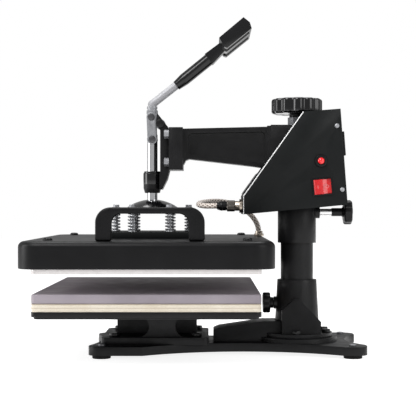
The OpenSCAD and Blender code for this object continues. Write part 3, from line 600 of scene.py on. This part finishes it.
def make_lead():
    """Braided lead whose ends meet the plug and the head cover; its route runs along the arm, then down
    by the ram, and it rides with no body.
    """
    route = [from_post(*p) for p in LEAD_ROUTE]
    path = smooth_path(route, per_span=6)
    lead = sweep("heater_lead_braid", path, LEAD_DIAMETER / 2 - 0.1 * MM, BRAID, sides=20)
    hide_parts("heater_lead")
    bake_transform(lead)


make_plug()
make_lead()

# --- Lower platen -----------------------------------------------------------------------------


def slab(name, node, inset, edge, corner, material, crown=0.0, belly=0.0):
    """A moulded sheet in a CAD block's place: rounded rims, sides that bow by belly."""
    low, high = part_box(node)
    centre = ((low.x + high.x) / 2, (low.y + high.y) / 2)
    width, depth = high.x - low.x - 2 * inset, high.y - low.y - 2 * inset
    rings = []
    steps = 5
    for i in range(steps + 1):
        turn = math.radians(90 * i / steps)
        pull = edge * (1 - math.sin(turn))
        rings.append((pull, low.z + edge * (1 - math.cos(turn))))
    middle = (low.z + high.z) / 2
    rings.append((-belly, middle))
    for i in range(steps + 1):
        turn = math.radians(90 * (1 - i / steps))
        pull = edge * (1 - math.sin(turn))
        rings.append((pull, high.z - crown - edge * (1 - math.cos(turn))))
    for share in (0.25, 0.6):
        rings.append((share * 30 * MM, high.z - crown * (1 - share)))
    skins = [ring(width - 2 * p, depth - 2 * p, max(corner - p, 0.5 * MM), z, centre, steps=6)
             for p, z in rings]
    return loft(name, skins, material)


def make_lower_platen():
    pad = slab("silicone_sheet", "silicone_pad", 0.4 * MM, 1.6 * MM, 6 * MM, SILICONE,
               crown=0.3 * MM, belly=0.2 * MM)
    stand_for(pad, "silicone_pad", slot="silicone")
    low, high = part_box("foam_layer")
    half = (high.z - low.z) / 2
    foam = slab("foam_sheets", "foam_layer", 0.2 * MM, 0.9 * MM, 6 * MM, FOAM, belly=0.5 * MM)
    centre = ((low.x + high.x) / 2, (low.y + high.y) / 2)
    seams = []
    for name, z in (("foam_seam", low.z + half), ("pad_seam", high.z - 0.5 * MM)):
        width, depth = high.x - low.x, high.y - low.y
        rings = [ring(width - 2 * p, depth - 2 * p, 6 * MM, z + h, centre, steps=6)
                 for p, h in ((-0.35 * MM, -0.25 * MM), (-0.35 * MM, 0.25 * MM),
                              (1.5 * MM, 0.25 * MM), (1.5 * MM, -0.25 * MM))]
        seams.append(loft(name, rings, GLUE, loop=True))
    seams = join("foam_glue_lines", seams)
    stand_for(foam, "foam_layer", slot="foam")
    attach(seams, "base")


make_lower_platen()

# --- Head cover, springs and dome -------------------------------------------------------------


def make_cover():
    """Pressed steel cover: a rolled top edge, round corners, hollow underneath with a hem."""
    low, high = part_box("platen_cover")
    centre = ((low.x + high.x) / 2, (low.y + high.y) / 2)
    width, depth = high.x - low.x, high.y - low.y
    corner, roll, wall = 30 * MM, 8 * MM, 1.8 * MM
    stations = [(wall + 1.5 * MM, low.z), (0.6 * MM, low.z), (0, low.z + 0.8 * MM)]
    for i in range(8):
        turn = math.radians(90 * i / 7)
        stations.append((roll * (1 - math.cos(turn)), high.z - roll + roll * math.sin(turn)))
    stations.append((corner * 0.7, high.z))
    rings = [ring(width - 2 * p, depth - 2 * p, corner - p, z, centre) for p, z in stations]
    inner = [(corner * 0.7, high.z - wall), (roll, high.z - wall)]
    for i in range(4):
        turn = math.radians(90 * (1 - i / 3))
        inner.append((wall + (roll - wall) * (1 - math.cos(turn)),
                      high.z - roll + (roll - wall) * math.sin(turn)))
    inner.append((wall, low.z + 3 * MM))
    inner.append((wall + 1.5 * MM, low.z + 3 * MM))
    inner_rings = [ring(width - 2 * p, depth - 2 * p, corner - p, z, centre) for p, z in inner]
    top = loft("cover_skin", rings, COVER, closed=False)
    under = loft("cover_lining", inner_rings, COVER, closed=False)
    count = len(rings[0])
    for piece, last in ((top, len(rings) - 1), (under, 0)):
        shell = bmesh.new()
        shell.from_mesh(piece.data)
        shell.verts.ensure_lookup_table()
        shell.faces.new([shell.verts[last * count + k] for k in range(count)])
        shell.to_mesh(piece.data)
        shell.free()
    hem = loft("cover_hem", [rings[0], inner_rings[-1]], COVER, closed=False)
    cover = join("cover_shell", [top, under, hem])
    weld(cover, 1e-6)
    recalculate(cover)
    smooth(cover)
    stand_for(cover, "platen_cover", slot="cover_black")


def helix(name, centre, low, high, radius, wire, turns, material):
    """One coil spring whose end turns lie flat."""
    path = []
    steps = int(turns * 20)
    for i in range(steps + 1):
        t = i / steps
        lift = min(max((t * turns - 0.9) / (turns - 1.8), 0), 1)
        z = low + wire + lift * (high - low - 2 * wire)
        turn = 2 * math.pi * turns * t
        path.append((centre[0] + radius * math.cos(turn), centre[1] + radius * math.sin(turn), z))
    return sweep(name, path, wire, material, sides=8)


SPRING_COUNT = 6
SPRING_RADIUS = 5.5 * MM
SPRING_WIRE = 1.0 * MM
SPRING_TURNS = 8
DOME_STEP = 4.5 * MM


def spring_places():
    low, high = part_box("platen_springs")
    outer = 6.5 * MM
    circle = (high.x - low.x) / 2 - outer
    centre = Vector(((low.x + high.x) / 2, (low.y + high.y) / 2))
    for i in range(SPRING_COUNT):
        turn = 2 * math.pi * i / SPRING_COUNT
        yield centre + circle * Vector((math.cos(turn), math.sin(turn)))


def make_springs():
    low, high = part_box("platen_springs")
    coils = [helix(f"spring_{i}", place, low.z, high.z, SPRING_RADIUS, SPRING_WIRE,
                   SPRING_TURNS, SPRING)
             for i, place in enumerate(spring_places())]
    coils = stand_for(join("spring_coils", coils), "platen_springs", slot="spring_steel")
    smooth(coils, 60)
    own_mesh(coils)


def make_dome():
    """Domed pressure disc with a stepped rim."""
    low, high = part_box("pressure_dome")
    rim, top = 62 * MM, high.z - low.z
    step = DOME_STEP
    sphere = 65 * MM
    middle = top - sphere
    profile = [(0, 0), (rim - 1.2 * MM, 0), (rim, 1.2 * MM), (rim, step - 1.5 * MM),
               (rim - 0.5 * MM, step - 0.5 * MM), (rim - 1.5 * MM, step)]
    first = math.asin((step + 0.8 * MM - middle) / sphere)
    profile += [(sphere * math.cos(first) + 1.5 * MM, step)]
    for i in range(17):
        turn = first + (math.radians(84) - first) * i / 16
        profile.append((sphere * math.cos(turn), middle + sphere * math.sin(turn)))
    profile += [(7.5 * MM, profile[-1][1] + 0.4 * MM), (0, profile[-1][1] + 0.4 * MM)]
    dome = lathe("dome_disc", profile, (RAM_X, 0, low.z), (0, 0, 1), GLOSS, steps=96)
    stand_for(dome, "pressure_dome", slot="gloss_black")


def turned_at(name, profile, places, axis, material, steps=32):
    """The same turned piece at several places, as one piece."""
    return join(name, [lathe(f"{name}_{i}", profile, place, axis, material, steps)
                       for i, place in enumerate(places)])


def hex_head(name, place, axis, flats, height, material, dish=0.12):
    """A hexagon head with its corners turned off on top."""
    axis = Vector(axis).normalized()
    side = axis.orthogonal().normalized()
    other = axis.cross(side)
    rings = []
    for reach, lift in ((1, 0), (1, height * (1 - dish)), (0.9, height), (0.5, height)):
        corner = flats / 2 / math.cos(math.pi / 6) * reach
        points = []
        for k in range(24):
            turn = 2 * math.pi * k / 24
            edge = flats / 2 * reach / math.cos((turn + math.pi / 6) % (math.pi / 3) - math.pi / 6)
            radius = min(corner, edge) if reach == 1 else flats / 2 * reach
            points.append(Vector(place) + axis * lift
                          + radius * (math.cos(turn) * side + math.sin(turn) * other))
        rings.append(points)
    return loft(name, rings, material, smooth_angle=25)


def make_spring_bolts():
    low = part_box("spring_bolts")[0]
    dome_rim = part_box("pressure_dome")[0].z + DOME_STEP
    pieces = []
    for i, place in enumerate(spring_places()):
        rod = [(0, low.z), (3 * MM, low.z), (3 * MM, dome_rim), (5.4 * MM, dome_rim),
               (5.4 * MM, dome_rim + 0.8 * MM), (5.0 * MM, dome_rim + 1 * MM), (0, dome_rim + 1 * MM)]
        foot = (place.x, place.y, 0)
        pieces.append(lathe(f"bolt_{i}", rod, foot, (0, 0, 1), ZINC, steps=24))
        head = (place.x, place.y, dome_rim + 1 * MM)
        pieces.append(hex_head(f"head_{i}", head, (0, 0, 1), 8 * MM, 3.4 * MM, ZINC))
    stand_for(join("spring_bolt_set", pieces), "spring_bolts", slot="zinc")


def corner_places(node, radius, z):
    """The four corners of a node's plan, drawn in by radius."""
    low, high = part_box(node)
    for x in (low.x + radius, high.x - radius):
        for y in (low.y + radius, high.y - radius):
            yield (x, y, z)


def socket_profile(head, height, socket, depth, shank, length):
    """A button head with a round socket, and its shank, from the tip up."""
    return [(0, -length), (shank, -length), (shank, 0), (head, 0), (head, height * 0.3),
            (head * 0.93, height * 0.62), (head * 0.72, height * 0.9), (socket + 0.3 * MM, height),
            (socket, height - 0.2 * MM), (socket, height - depth), (0, height - depth)]


def make_cover_screws():
    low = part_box("cover_screws")[0]
    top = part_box("platen_cover")[1].z
    profile = socket_profile(6.5 * MM, 3.8 * MM, 2.3 * MM, 2.2 * MM, 2.4 * MM, top - low.z)
    places = corner_places("cover_screws", 6.5 * MM, top)
    screws = turned_at("cover_screw_set", profile, places, (0, 0, 1), PLASTIC)
    stand_for(screws, "cover_screws", slot="plastic_black")


make_cover()
make_springs()
make_dome()
make_spring_bolts()
make_cover_screws()

# --- Knobs ------------------------------------------------------------------------------------


def lobed(name, origin, axis, radius, height, lobes, material, edge, notch=0.09, dish=0.0):
    """A hand knob: shallow notches round it, rounded rims and a face that is dished a little."""
    axis = Vector(axis).normalized()
    side = axis.orthogonal().normalized()
    other = axis.cross(side)
    stations = []
    for i in range(6):
        turn = math.radians(90 * i / 5)
        stations.append((edge * (1 - math.sin(turn)), edge * (1 - math.cos(turn))))
    for i in range(6):
        turn = math.radians(90 * (1 - i / 5))
        stations.append((edge * (1 - math.sin(turn)), height - edge * (1 - math.cos(turn))))
    face = radius * (1 - notch) - edge
    stations += [(radius - face * share, height - dish * (1 - share * share))
                 for share in (0.9, 0.6, 0.3)]
    steps = lobes * 16
    rings = []
    for index, (pull, lift) in enumerate(stations):
        flat = max(0.0, (index - 11) / 3)
        points = []
        for k in range(steps):
            turn = 2 * math.pi * k / steps
            wave = (0.5 + 0.5 * math.cos(lobes * turn)) ** 1.6
            reach = radius * (1 - notch * wave * (1 - flat)) - pull
            points.append(Vector(origin) + axis * lift
                          + reach * (math.cos(turn) * side + math.sin(turn) * other))
        rings.append(points)
    return loft(name, rings, material, smooth_angle=50)


# Heights of the knobs above the floor, in millimetres
PRESSURE_GRIP_Z = 346
PRESSURE_NECK_Z = 341
SOCKET_KNOB_Z = 71
SWING_KNOB_Z = 203


def make_knobs():
    knob = [lobed("knob_grip", from_post(0, 0, PRESSURE_GRIP_Z), (0, 0, 1), 37 * MM, 22 * MM, 12, GLOSS,
                  3.6 * MM, dish=-0.8 * MM)]
    knob.append(lathe("knob_neck", [(8.05 * MM, 0), (10.4 * MM, 0), (11 * MM, 0.6 * MM),
                                    (11 * MM, 4 * MM), (13 * MM, 5.5 * MM), (8.05 * MM, 5.5 * MM)],
                      from_post(0, 0, PRESSURE_NECK_Z), (0, 0, 1), PLASTIC))
    stand_for(join("pressure_knob_moulding", knob), "pressure_knob", slot="gloss_black")

    stand_for(join("socket_knob_moulding", [
        lobed("socket_grip", from_post(-39, 0, SOCKET_KNOB_Z), (-1, 0, 0), 15 * MM, 11 * MM, 7, PLASTIC,
              2.2 * MM, dish=0.6 * MM),
        lathe("socket_neck", [(0, 24 * MM), (3.9 * MM, 24 * MM), (3.9 * MM, 34.5 * MM),
                              (7.4 * MM, 34.5 * MM), (8 * MM, 35.1 * MM), (8 * MM, 39.5 * MM),
                              (0, 39.5 * MM)], from_post(0, 0, SOCKET_KNOB_Z), (-1, 0, 0), PLASTIC),
    ]), "socket_lock_knob", slot="plastic_black")

    stand_for(join("swing_knob_moulding", [
        lobed("swing_grip", from_post(68, 0, SWING_KNOB_Z), (1, 0, 0), 18 * MM, 12 * MM, 7, PLASTIC,
              2.6 * MM, dish=0.6 * MM),
        lathe("swing_neck", [(0, 50.5 * MM), (5.4 * MM, 50.5 * MM), (6 * MM, 51.1 * MM),
                             (6 * MM, 65 * MM), (9 * MM, 69 * MM), (0, 69 * MM)],
              from_post(0, 0, SWING_KNOB_Z), (1, 0, 0), PLASTIC),
        lathe("swing_stud", [(0, 24 * MM), (4.9 * MM, 24 * MM), (4.9 * MM, 51 * MM),
                             (0, 51 * MM)], from_post(0, 0, SWING_KNOB_Z), (1, 0, 0), STUD_METAL_AND_EDGE_HIGHLIGHT),
    ]), "swing_lock_knob", slot="plastic_black")


make_knobs()

# --- Castings and bars with softened edges ----------------------------------------------------

# CAD node: (edge width in mm, material)
SOFTENED = {
    "base_casting": (2.2, CAST), "post_socket": (1.4, CAST), "pedestal": (1.4, CAST),
    "lower_tray": (1.2, CAST), "swivel_sleeve": (0.8, CAST), "swivel_yoke": (1.0, CAST),
    "swing_arm": (1.6, CAST), "toggle_head": (1.2, CAST), "platen_handle": (2.6, HANDLE),
    "spring_plate": (1.0, SHEET), "box_shell": (0.4, SHEET), "box_near_panel": (0.4, SHEET),
    "controller_module": (0.8, PLASTIC), "rocker_frame": (0.4, PLASTIC),
    "power_inlet": (0.6, PLASTIC), "lever_hub": (0.9, ZINC), "toggle_link": (0.6, ZINC),
    "heat_platen": (1.0, PLATEN), "lever_grip": (1.5, GRIP), "lever_nut": (0.5, ZINC),
    "pressure_screw": (0.4, ZINC), "connector_socket": (0.5, NICKEL), "cable_gland": (0.5, NICKEL),
    "lamp_bezel": (0.4, PLASTIC), "base_bolts": (0.5, BLACK_STEEL), "flange_bolts": (0.4, ZINC),
    "link_pins": (0.4, PIN), "lever_pivot_pin": (0.4, BLACK_STEEL), "foot_screws": (0.5, ZINC),
    "rubber_feet": (0.8, RUBBER), "lamp_lens": (0.3, LAMP), "lever_bar": (0.3, BAR),
}


def make_softened():
    for node, (width, material) in SOFTENED.items():
        softened(node, width * MM, material, segments=3 if width > 1 else 2)


make_softened()

# --- Details on the head and the control box --------------------------------------------------

BARREL_FOOT = 230.5 * MM
# Radius and height of the ram guide's shell, in millimetres from its foot
BARREL_PROFILE = [
    (7.7, 0.3), (9.4, 0.3), (10.2, 0.9), (11.3, 4), (12.5, 9), (13.1, 14), (13.3, 20),
    (13.3, 28.6), (12.6, 29.4), (12.2, 29.4), (12.2, 31.4), (11.6, 31.9), (7.7, 31.9),
]


def make_barrel():
    """Glossy shell of the ram guide, drawn in at its foot like a bullet."""
    barrel = lathe("guide_shell", [(r * MM, h * MM) for r, h in BARREL_PROFILE],
                   (RAM_X, 0, BARREL_FOOT), (0, 0, 1), GLOSS)
    stand_for(barrel, "ram_bushing", slot="gloss_black")


# The control box in millimetres from the post, as the CAD has it: its front outline, its half
# width, how far its floor slopes, and the rocker's place on the near panel
BOX_FRONT = [(-80, 200), (-80, 227), (4, 345)]
BOX_HALF = 60
BOX_TILT = math.atan2(13.6, 147)
ROCKER_AT = (31.5, 239)
ROCKER_SINK = 2
ROCKER_REST = math.radians(7)
ROCKER_HALF = 12.3
ROCKER_TALL = 10.5


def make_panel_edge_highlights():
    """Bright metal strips along the near panel's front edges, a painted highlight where those edges
    catch the light.
    """
    rods = []
    for (x0, z0), (x1, z1), width in zip(BOX_FRONT, BOX_FRONT[1:], (0.4, 0.75)):
        start, end = from_post(x0, -BOX_HALF, z0), from_post(x1, -BOX_HALF, z1)
        way = (end - start).normalized()
        inward = Vector((way.z, 0, -way.x))
        section = ((0.1, 0.2), (0.1, -0.15), (0.3, -0.3), (width * 1.7, -0.3),
                   (width * 2, -0.1), (width * 2, 0.2))
        corners = [[place + inward * a * MM + Vector((0, b * MM, 0)) for a, b in section]
                   for place in (start, end)]
        rods.append(loft(f"edge_{len(rods)}", corners, STUD_METAL_AND_EDGE_HIGHLIGHT, smooth_angle=60))
    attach(join("panel_edge_highlights", rods), "arm")


def rocker_face(x):
    """Height of the rocker's face, hollow on both sides of its ridge, in millimetres."""
    share = abs(x) / ROCKER_HALF
    return 2.3 - 1.8 * share - 1.2 * math.sin(math.pi * share)


def rocker_place():
    """From the rocker's own millimetres, z out of the panel, to its place at rest."""
    x, z = ROCKER_AT
    return (Matrix.Translation(from_post(x, -BOX_HALF + ROCKER_SINK, z))
            @ Matrix.Rotation(-BOX_TILT, 4, "Y") @ Matrix.Rotation(math.radians(90), 4, "X")
            @ Matrix.Rotation(ROCKER_REST, 4, "Y") @ Matrix.Translation((0, 0, ROCKER_SINK * MM))
            @ Matrix.Scale(MM, 4))


def make_rocker():
    """Rocker with two hollow faces, and a bar and a ring moulded on it."""
    place = rocker_place()
    skirt, keel, round_off, steps = -3.5, -5.6, 0.5, 20
    rings = []
    for lift in (-ROCKER_TALL, round_off - ROCKER_TALL, ROCKER_TALL - round_off, ROCKER_TALL):
        pull = round_off if abs(lift) == ROCKER_TALL else 0.0
        half = ROCKER_HALF - pull
        outline = [(-half, skirt), (0, keel), (half, skirt)]
        outline += [(x, rocker_face(x) - pull)
                    for x in (half - 2 * half * k / steps for k in range(steps + 1))]
        rings.append([place @ Vector((x, lift, z)) for x, z in outline])
    body = loft("rocker_body", rings, SWITCH, smooth_angle=40)

    mark_x, proud, sunk = 6.8, 0.12, -0.3
    bar = [[place @ Vector((x, y, rocker_face(x) + lift))
            for x, y in ((-mark_x - 0.4, -2.4), (-mark_x + 0.4, -2.4),
                         (-mark_x + 0.4, 2.4), (-mark_x - 0.4, 2.4))]
           for lift in (sunk, proud)]
    circle = []
    for reach, lift in ((2.3, sunk), (2.3, proud), (1.6, proud), (1.6, sunk)):
        points = []
        for k in range(28):
            turn = 2 * math.pi * k / 28
            x = mark_x + reach * math.cos(turn)
            points.append(place @ Vector((x, reach * math.sin(turn), rocker_face(x) + lift)))
        circle.append(points)
    marks = [loft("bar_mark", bar, MARK), loft("ring_mark", circle, MARK, loop=True)]
    stand_for(join("rocker_cap", [body] + marks), "rocker", slot="rocker_red")


make_barrel()
make_panel_edge_highlights()
make_rocker()

# --- Everything that is shown as the CAD has it -----------------------------------------------


def paint_cad_nodes():
    slots = {part["node"]: part["material_slot"] for part in frame["record"]["subparts"]}
    for node, shown in nodes.items():
        if shown.hide_render:
            continue
        for place in shown.material_slots:
            place.material = MATERIAL_SLOTS[slots[node]]


paint_cad_nodes()

# --- Floor, light and finish ------------------------------------------------------------------


def make_floor():
    material, tree, shader = new_material("floor_white")
    place = object_place(tree)
    tint = ramp(tree, noise(tree, place, 0.5, detail=2), [(0.3, 0.42), (0.7, 0.44)])
    tree.links.new(tint, shader.inputs["Base Color"])
    shader.inputs["Roughness"].default_value = 0.9
    shader.inputs["Specular IOR Level"].default_value = 0.1
    shader.inputs["Emission Color"].default_value = (1, 1, 1, 1)
    shader.inputs["Emission Strength"].default_value = 0.86
    half = 6.0
    floor = new_piece("floor", [(-half, -half, 0), (half, -half, 0), (half, half, 0),
                                (-half, half, 0)], [(0, 1, 2, 3)], material)


def area_light(name, place, target, width, depth, power, tint=(1, 1, 1)):
    data = bpy.data.lights.new(name, "AREA")
    data.shape = "RECTANGLE"
    data.size, data.size_y, data.energy, data.color = width, depth, power, tint
    light = bpy.data.objects.new(name, data)
    light.location = place
    light.rotation_euler = (Vector(target) - Vector(place)).to_track_quat("-Z", "Y").to_euler()
    bpy.context.scene.collection.objects.link(light)


def make_world():
    """White to the camera, a dimmer grey to everything that it lights."""
    world = bpy.data.worlds.new("studio")
    bpy.context.scene.world = world
    world.use_nodes = True
    tree = world.node_tree
    tree.nodes.clear()
    seen = add_node(tree, "ShaderNodeBackground", Color=(1, 1, 1, 1), Strength=1.0)
    felt = add_node(tree, "ShaderNodeBackground", Color=(1, 1, 1, 1), Strength=0.42)
    path = tree.nodes.new("ShaderNodeLightPath")
    mix = tree.nodes.new("ShaderNodeMixShader")
    out = tree.nodes.new("ShaderNodeOutputWorld")
    tree.links.new(path.outputs["Is Camera Ray"], mix.inputs[0])
    tree.links.new(felt.outputs["Background"], mix.inputs[1])
    tree.links.new(seen.outputs["Background"], mix.inputs[2])
    tree.links.new(mix.outputs["Shader"], out.inputs["Surface"])


make_floor()
middle = from_post(-140, 0, 200)
area_light("key", (-0.9, -1.3, 1.9), middle, width=1.4, depth=1.0, power=38)
area_light("fill", (1.6, -1.2, 1.0), middle, width=1.2, depth=1.4, power=14)
area_light("top", (-0.1, 0.5, 1.9), middle, width=1.8, depth=1.0, power=26)
area_light("side", (-1.8, -0.2, 0.6), middle, width=0.8, depth=1.2, power=14)
make_world()
scene = bpy.context.scene
scene.view_settings.view_transform = "Standard"
scene.view_settings.look = "None"
scene.view_settings.exposure = 0.0
